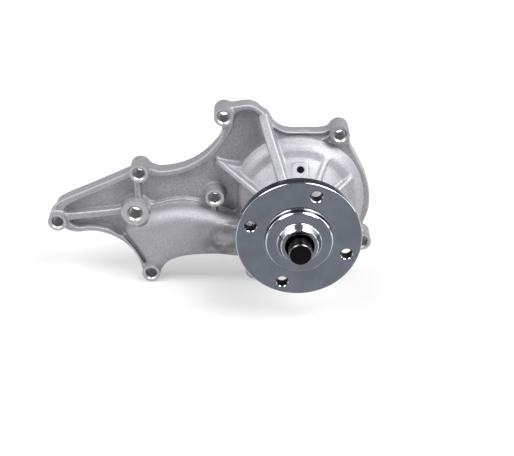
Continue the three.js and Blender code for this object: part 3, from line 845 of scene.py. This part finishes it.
def build_bearing():
    steel = ground_steel()
    seat = 2.6
    wide = RACE_BORE + 1
    profile = [(wide, RACE_FRONT), (wide, RACE_FRONT + seat), (RACE_BORE, RACE_FRONT + seat)]
    profile += groove(BALL_ROWS["front"], RACE_BORE, 1) + groove(BALL_ROWS["rear"], RACE_BORE, 1)
    profile += [(RACE_BORE, RACE_REAR - seat), (wide, RACE_REAR - seat), (wide, RACE_REAR),
                (18.2, RACE_REAR), (RACE_RADIUS, RACE_REAR - 0.8), (RACE_RADIUS, RACE_FRONT + 0.8),
                (18.2, RACE_FRONT)]
    build_turned("bearing_outer_race", "housing_body", profile, (steel,), 0.15)
    nylon = plain_look("nylon", (0.6, 0.5, 0.3), (0.68, 0.58, 0.38), 0, (0.35, 0.5), 500, 0.1)
    rubber = plain_look("seal_rubber", (0.02, 0.02, 0.021), (0.035, 0.035, 0.036), 0,
                        (0.5, 0.65), 900, 0.2)
    for row, row_y in BALL_ROWS.items():
        body = "cage_" + row
        for i in range(BALL_COUNT):
            x, z = polar(BALL_PITCH, 360 * i / BALL_COUNT)
            build_ball(f"ball_{row}_{i + 1}", body, (x, row_y, z), steel)
        build_cage(row, row_y, body, nylon)
    for row, front in (("front", RACE_FRONT + 0.4), ("rear", RACE_REAR - 2.2)):
        profile = [(8.8, front + 0.2), (9.4, front + 0.5), (10, front + 0.6), (10.6, front + 0.1),
                   (11.6, front), (12.4, front + 0.35), (14.2, front + 0.35), (14.8, front),
                   (15.7, front), (15.9, front + 1.7), (11, front + 1.7), (9.6, front + 1.2),
                   (8.8, front + 1)]
        build_turned("bearing_seal_" + row, "housing_body", profile, (rubber,), 0.15)


def build_ball(node, body, place, look):
    rings, segments = 12, 24
    vertices = []
    faces = []
    for i in range(rings + 1):
        polar_angle = math.pi * i / rings
        around = segments if 0 < i < rings else 1
        for s in range(around):
            angle = 2 * math.pi * s / segments
            radius = BALL_RADIUS * math.sin(polar_angle)
            vertices.append((place[0] + radius * math.cos(angle),
                             place[1] + BALL_RADIUS * math.cos(polar_angle),
                             place[2] + radius * math.sin(angle)))
    for s in range(segments):
        n = (s + 1) % segments
        faces.append([0, 1 + s, 1 + n])
        last = 1 + (rings - 2) * segments
        faces.append([last + s, len(vertices) - 1, last + n])
        for i in range(rings - 2):
            row = 1 + i * segments
            faces.append([row + s, row + segments + s, row + segments + n, row + n])
    obj = mesh_object("fine_" + node, world(vertices), faces)
    face_out(obj)
    obj.data.materials.append(look)
    finish(obj, node, body, 180)


def build_cage(row, row_y, body, look):
    """Snap-in cage: a ring on one side of the balls with a prong between each pair."""
    side = 1 if row == "front" else -1
    low, high = sorted((row_y - 1.2 * side, row_y + 5.6 * side))
    field = Field((-15, low - 1.5, -15), (15, high + 1.5, 15), 0.4)
    radius = np.hypot(field.plan_x, field.plan_z)
    band = np.abs(radius - 11.85) - 1.25
    field.add(smooth_max(band[:, None, :], field.slab(low + 0.1, high - 0.1), 0.5), 0.1)
    for i in range(BALL_COUNT):
        x, z = polar(BALL_PITCH, 360 * i / BALL_COUNT)
        away = np.sqrt((field.x - x) ** 2 + (field.y - row_y) ** 2 + (field.z - z) ** 2)
        field.cut(away - BALL_RADIUS - 0.3, 0.3)
    vertices, quads = field.mesh_data()
    obj = mesh_object("fine_cage_" + row, world(vertices), quads)
    obj.data.materials.append(look)
    finish(obj, "bearing_cage_" + row, body, 50)


def build_seal():
    pressed = plain_look("pressed_steel", (0.4, 0.4, 0.41), (0.5, 0.5, 0.51), 1, (0.3, 0.45), 700, 0.08)
    brass = plain_look("brass", (0.45, 0.3, 0.11), (0.55, 0.38, 0.15), 1, (0.25, 0.42), 300, 0.05)
    rubber = plain_look("bellows_rubber", (0.018, 0.018, 0.018), (0.03, 0.03, 0.03), 0,
                        (0.5, 0.7), 900, 0.2)
    carbon = plain_look("carbon", (0.03, 0.03, 0.033), (0.05, 0.05, 0.055), 0, (0.3, 0.5), 1200, 0.05)
    ceramic = plain_look("ceramic", (0.7, 0.67, 0.58), (0.78, 0.75, 0.68), 0, (0.2, 0.35), 400, 0.03)
    slinger = [(6.3, -27), (8, -27), (11.5, -26.2), (11.5, -25.6), (8, -26.2), (6.3, -26.2)]
    cup = [(7.6, -24.4), (13.7, -24.4), (14.7, -23.4), (14.7, -15.2), (17.6, -15.2), (17.6, -14.4),
           (13.9, -14.4), (13.9, -23.2), (13.3, -23.6), (7.6, -23.6)]
    bellows = [(7, -23.3), (13.2, -23.3), (13.2, -22), (8.6, -21.6), (8.6, -20), (9.4, -19.2),
               (8.6, -18.4), (8.6, -16.8), (12.4, -16.6), (12.4, -15), (7, -15)]
    ring = [(7.2, -14.7), (10.8, -14.7), (10.8, -12.4), (9.6, -12.2), (9.6, -11.2), (7.2, -11.2)]
    seat = [(7.4, -10.9), (11.4, -10.9), (11.4, -7.4), (7.4, -7.4)]
    seat_cup = [(7, -7.1), (11.7, -7.1), (11.7, -10.6), (12.8, -10.6), (12.8, -6), (7, -6)]
    build_turned("slinger", "rotor", slinger, (pressed,), 0.15)
    build_turned("seal_cup", "housing_body", cup, (brass,), 0.3)
    build_turned("seal_bellows", "housing_body", bellows, (rubber,), 0.4)
    build_turned("seal_carbon_ring", "housing_body", ring, (carbon,), 0.15)
    build_turned("ceramic_seat", "rotor", seat, (ceramic,), 0.3)
    build_turned("seat_cup", "rotor", seat_cup, (rubber,), 0.3)
    build_spring(pressed)


def build_spring(look):
    turns, coil, wire, sides, steps = 2, 11.2, 0.6, 12, 96
    vertices = []
    faces = []
    for i in range(steps + 1):
        angle = 2 * math.pi * turns * i / steps
        y = -20.7 + 2.8 * i / steps
        for s in range(sides):
            around = 2 * math.pi * s / sides
            radius = coil + wire * math.cos(around)
            vertices.append((radius * math.cos(angle), y + wire * math.sin(around),
                             radius * math.sin(angle)))
    for i in range(steps):
        faces.extend(band(i, sides))
    faces.append(list(range(sides)))
    faces.append([steps * sides + s for s in reversed(range(sides))])
    obj = mesh_object("fine_seal_spring", world(vertices), faces)
    face_out(obj)
    obj.data.materials.append(look)
    finish(obj, "seal_spring", "housing_body", 60)


# ---------------------------------------------------------------- impeller


def vane_distance(field):
    """Distance to the nearest of the swept vanes, in the plan."""
    radius = np.hypot(field.plan_x, field.plan_z)
    angle = np.degrees(np.arctan2(field.plan_z, field.plan_x))
    travel = np.clip((radius - 13.8) / (IMPELLER_RADIUS - 14.2), -0.2, 1.1)
    pitch = 360 / IMPELLER_VANES
    away = np.mod(angle - 58 * travel + pitch / 2, pitch) - pitch / 2
    sweep = math.radians(58) / (IMPELLER_RADIUS - 14.2) * radius
    across = np.radians(np.abs(away)) * radius / np.hypot(1, sweep)
    thickness = 1.35 - 0.35 * np.clip(travel, 0, 1)
    return np.maximum(across - thickness, radius - IMPELLER_RADIUS + 0.6)


def build_impeller():
    field = Field((-37, -17, -37), (37, 0, 37), 0.5)
    section = [(0, -13.5), (33.6, -13.5), (34, -13.1), (34, -11.6), (33.4, -11.3), (16, -11.3),
               (14.8, -10.2), (14.2, -4), (13.6, -3.4), (0, -3.4)]
    field.add(field.turned(section), 0.1)
    vanes = field.drawn(vane_distance(field), -12.4, -3.4, 0.7, 0.03)
    field.add(vanes, 2.2)
    obj = casting("fine_impeller", field)
    dress(obj, (cast_iron(), ground_steel()))
    tools = [chamfered_tool((0, 0), 6.3, -14, -3.4, 0.5, 64), straight_tool((0, 0), 13.1, -15, -5.7, 96)]
    for i in range(3):
        tools.append(straight_tool(polar(22, 30 + 120 * i), 2, -15, -9, 32))
    for tool in tools:
        subtract(obj, tool_object("tool_impeller", [tool], obj.data.materials, 1))
    finish(obj, "impeller", "rotor", 40)


# ---------------------------------------------------------------- materials


def shader(name, metallic):
    material = bpy.data.materials.new(name)
    material.use_nodes = True
    nodes = material.node_tree.nodes
    principled = nodes["Principled BSDF"]
    principled.inputs["Metallic"].default_value = metallic
    return material, nodes, material.node_tree.links, principled


def object_place(nodes):
    return nodes.new("ShaderNodeTexCoord").outputs["Object"]


def object_noise(nodes, links, scale, detail=3, stretch=None):
    source = object_place(nodes)
    noise = nodes.new("ShaderNodeTexNoise")
    noise.inputs["Scale"].default_value = scale
    noise.inputs["Detail"].default_value = detail
    if stretch:
        mapping = nodes.new("ShaderNodeMapping")
        mapping.inputs["Scale"].default_value = stretch
        links.new(source, mapping.inputs["Vector"])
        source = mapping.outputs["Vector"]
    links.new(source, noise.inputs["Vector"])
    return noise.outputs["Fac"]


def turning_lines(nodes, links, scale):
    """Noise that changes only with the distance from the shaft axis and along it."""
    shift = nodes.new("ShaderNodeVectorMath")
    shift.operation = "SUBTRACT"
    shift.inputs[1].default_value = (AXIS_X, 0, AXIS_Z)
    links.new(object_place(nodes), shift.inputs[0])
    split = nodes.new("ShaderNodeSeparateXYZ")
    links.new(shift.outputs["Vector"], split.inputs["Vector"])
    flat = nodes.new("ShaderNodeCombineXYZ")
    links.new(split.outputs["X"], flat.inputs["X"])
    links.new(split.outputs["Z"], flat.inputs["Z"])
    length = nodes.new("ShaderNodeVectorMath")
    length.operation = "LENGTH"
    links.new(flat.outputs["Vector"], length.inputs[0])
    ring = nodes.new("ShaderNodeCombineXYZ")
    links.new(length.outputs["Value"], ring.inputs["X"])
    links.new(split.outputs["Y"], ring.inputs["Y"])
    noise = nodes.new("ShaderNodeTexNoise")
    noise.inputs["Scale"].default_value = scale
    noise.inputs["Detail"].default_value = 2
    links.new(ring.outputs["Vector"], noise.inputs["Vector"])
    return noise.outputs["Fac"]


def spread(nodes, links, source, low, high, start=0.3, end=0.7):
    """Maps the span start to end of a value to the range low to high."""
    node = nodes.new("ShaderNodeMapRange")
    node.inputs["To Min"].default_value = low
    node.inputs["To Max"].default_value = high
    node.inputs["From Min"].default_value = start
    node.inputs["From Max"].default_value = end
    links.new(source, node.inputs["Value"])
    return node.outputs["Result"]


def mix(nodes, links, share, low, high):
    """Blends two colours; each is a colour or a socket, and share is a number or a socket."""
    node = nodes.new("ShaderNodeMix")
    node.data_type = "RGBA"
    for name, value in (("Factor", share), ("A", low), ("B", high)):
        socket = node.inputs[name]
        if isinstance(value, bpy.types.NodeSocket):
            links.new(value, socket)
        elif isinstance(value, tuple):
            socket.default_value = (*value, 1)
        else:
            socket.default_value = value
    return [output for output in node.outputs if output.type == "RGBA"][0]


def bump(nodes, links, principled, layers):
    """Adds bumps one on the other: (height source, strength, depth in millimetres)."""
    last = None
    for source, strength, depth in layers:
        node = nodes.new("ShaderNodeBump")
        node.inputs["Strength"].default_value = strength
        node.inputs["Distance"].default_value = depth * MM
        links.new(source, node.inputs["Height"])
        if last:
            links.new(last, node.inputs["Normal"])
        last = node.outputs["Normal"]
    links.new(last, principled.inputs["Normal"])


def coat(nodes, links, principled, tint, source, roughness):
    """Sets the colour, and a roughness that follows a noise."""
    links.new(tint, principled.inputs["Base Color"])
    links.new(spread(nodes, links, source, *roughness), principled.inputs["Roughness"])


def plain_look(name, low, high, metallic, roughness, scale, depth):
    """A surface with fine grain in colour, roughness and height."""
    material, nodes, links, principled = shader(name, metallic)
    grain = object_noise(nodes, links, scale)
    broad = object_noise(nodes, links, scale / 8)
    tint = mix(nodes, links, spread(nodes, links, grain, 0, 1), low, high)
    coat(nodes, links, principled, tint, broad, roughness)
    bump(nodes, links, principled, [(grain, 0.3, depth)])
    return material


def stained(nodes, links, colour, stain, centre, radius):
    """Clouded stain on a casting, fading out from its centre."""
    reach = nodes.new("ShaderNodeVectorMath")
    reach.operation = "DISTANCE"
    reach.inputs[1].default_value = centre
    links.new(object_place(nodes), reach.inputs[0])
    near = spread(nodes, links, reach.outputs["Value"], 0.8, 0, 0.25 * radius, radius)
    cloud = spread(nodes, links, object_noise(nodes, links, 70, 3), 0.1, 1, 0.4, 0.6)
    share = nodes.new("ShaderNodeMath")
    share.operation = "MULTIPLY"
    links.new(near, share.inputs[0])
    links.new(cloud, share.inputs[1])
    return mix(nodes, links, share.outputs["Value"], colour, stain)


def cast_look(name, low, high, edge, crease, metallic, roughness):
    """Blasted casting: speckled grain, broad patches, a painted highlight on edges and painted shade in
    creases.
    """
    material, nodes, links, principled = shader(name, metallic)
    grain = object_noise(nodes, links, 1500, 2)
    pits = object_noise(nodes, links, 700, 2)
    patches = object_noise(nodes, links, 45, 4)
    speckle = mix(nodes, links, spread(nodes, links, grain, 0, 1, 0.36, 0.64), low, high)
    mottled = mix(nodes, links, spread(nodes, links, patches, 0, 0.35, 0.35, 0.7), speckle, low)
    bend = nodes.new("ShaderNodeAttribute")
    bend.attribute_name = "bend"
    # Where the surface bends outwards the colour turns towards the edge colour: a painted highlight along
    # edges.
    painted_edge_highlight = spread(nodes, links, bend.outputs["Fac"], 0, 0.6, 0.35, 1.1)
    # Where it bends inwards the colour turns towards the crease colour: painted shade in creases.
    painted_crease_shade = spread(nodes, links, bend.outputs["Fac"], 0.4, 0, -1.1, -0.45)
    edged = mix(nodes, links, painted_edge_highlight, mottled, edge)
    shaded = mix(nodes, links, painted_crease_shade, edged, crease)
    # The stain is a real mark on the casting; it reuses the colour of the painted crease shade.
    marked = stained(nodes, links, shaded, crease, world([STAIN_PLACE])[0], 0.03)
    coat(nodes, links, principled, marked, patches, roughness)
    bump(nodes, links, principled, [(pits, 0.3, 0.25), (grain, 0.45, 0.2)])
    return material


def cast_aluminium():
    # Colours: grain low and high, the painted edge highlight, and the painted crease shade that also
    # tints the stain.
    return cast_look("cast_aluminium", (0.28, 0.28, 0.298), (0.435, 0.435, 0.456), (0.6, 0.6, 0.62),
                     (0.12, 0.12, 0.13), 0.85, (0.58, 0.7))


def cast_iron():
    # Colours: grain low and high, the painted edge highlight and the painted crease shade.
    return cast_look("cast_iron", (0.1, 0.095, 0.09), (0.16, 0.15, 0.14), (0.25, 0.24, 0.23),
                     (0.05, 0.045, 0.04), 0.8, (0.5, 0.65))


def lined_look(name, low, high, metallic, roughness, scale, depth):
    """Turned metal: fine rings about the shaft axis and faint clouds."""
    material, nodes, links, principled = shader(name, metallic)
    lines = turning_lines(nodes, links, scale)
    clouds = object_noise(nodes, links, 60, 3)
    tint = mix(nodes, links, spread(nodes, links, clouds, 0, 1), low, high)
    coat(nodes, links, principled, tint, clouds, roughness)
    bump(nodes, links, principled, [(lines, 0.15, depth)])
    return material


def machined_aluminium():
    material, nodes, links, principled = shader("machined_aluminium", 1)
    lines = object_noise(nodes, links, 1100, 2, (1, 1, 0.08))
    tint = mix(nodes, links, spread(nodes, links, lines, 0, 1), (0.34, 0.34, 0.355), (0.46, 0.46, 0.475))
    coat(nodes, links, principled, tint, lines, (0.34, 0.46))
    bump(nodes, links, principled, [(lines, 0.2, 0.03)])
    return material


# The flange's steel darkened as a painted dark reflection, for its flat faces and rim.
def steel_painted_dark_reflection():
    return lined_look("steel_painted_dark_reflection", (0.11, 0.122, 0.144), (0.14, 0.155, 0.182), 1,
                      (0.16, 0.24), 2600, 0.01)


# The same steel brighter and glossier: painted highlights on the flange's nose, hub and chamfers.
def steel_painted_highlight():
    return lined_look("steel_painted_highlight", (0.34, 0.36, 0.4), (0.42, 0.44, 0.48), 1,
                      (0.08, 0.14), 2600, 0.006)


def ground_steel():
    return lined_look("ground_steel", (0.09, 0.085, 0.085), (0.14, 0.13, 0.13), 1,
                      (0.14, 0.24), 1500, 0.01)


# Near-black steel: the shaft's tip, and painted shade on the walls of the flange's holes.
def dark_steel_and_hole_shade():
    return plain_look("dark_steel_and_hole_shade", (0.004, 0.0035, 0.004), (0.012, 0.01, 0.01), 1, (0.3, 0.5), 900, 0.05)


# ---------------------------------------------------------------- stage


def build_floor():
    half = 12
    drop = -0.0002
    vertices = [(-half, -half, drop), (half, -half, drop), (half, half, drop), (-half, half, drop)]
    floor = mesh_object("floor", vertices, [[0, 1, 2, 3]])
    material, nodes, links, principled = shader("floor", 0)
    principled.inputs["Base Color"].default_value = (0.42, 0.42, 0.42, 1)
    principled.inputs["Roughness"].default_value = 0.12
    principled.inputs["Emission Color"].default_value = (1, 1, 1, 1)
    split = nodes.new("ShaderNodeSeparateXYZ")
    links.new(object_place(nodes), split.inputs["Vector"])
    glow = spread(nodes, links, split.outputs["Y"], 0.34, 0.8, 0, 0.8)
    links.new(glow, principled.inputs["Emission Strength"])
    floor.data.materials.append(material)


def softbox(name, place, target, size, radiance):
    """A rectangular light; its power follows from how bright its surface should look."""
    data = bpy.data.lights.new(name, "AREA")
    data.shape = "RECTANGLE"
    data.size, data.size_y = size
    data.energy = radiance * size[0] * size[1] * math.pi
    obj = bpy.data.objects.new(name, data)
    obj.location = place
    obj.rotation_euler = (Vector(target) - Vector(place)).to_track_quat("-Z", "Y").to_euler()
    bpy.context.collection.objects.link(obj)


def build_lights():
    studio = bpy.data.worlds.new("studio")
    studio.use_nodes = True
    background = studio.node_tree.nodes["Background"]
    background.inputs["Color"].default_value = (0.97, 0.98, 1, 1)
    background.inputs["Strength"].default_value = 0.25
    bpy.context.scene.world = studio
    middle = (0, 0, 0.05)
    softbox("front_left_box", (-1.1, -0.8, 1.7), middle, (1.0, 1.2), 8)
    softbox("front_right_box", (1.1, -0.8, 1.7), middle, (1.0, 1.2), 12.8)
    softbox("left_box", (-1.02, -0.05, 0.86), middle, (0.7, 1.8), 2.6)
    softbox("right_box", (1.02, -0.05, 0.86), middle, (0.7, 1.8), 3.4)


CAMERA_PLACE = (-35.46, -606.27, 294.41)
CAMERA_PITCH = 28.5
CAMERA_YAW = 0.55
CAMERA_LENS = 58.13


def build_camera():
    data = bpy.data.cameras.new("camera")
    data.lens = CAMERA_LENS
    data.sensor_width = 36
    obj = bpy.data.objects.new("camera", data)
    obj.location = world(CAMERA_PLACE)
    obj.rotation_euler = (math.radians(90 - CAMERA_PITCH), 0, -math.radians(CAMERA_YAW))
    bpy.context.collection.objects.link(obj)
    bpy.context.scene.camera = obj
    bpy.context.scene.view_settings.view_transform = "Standard"


build_camera()
build_lights()
build_floor()
build_housing()
build_flange()
build_shaft()
build_bearing()
build_seal()
build_impeller()
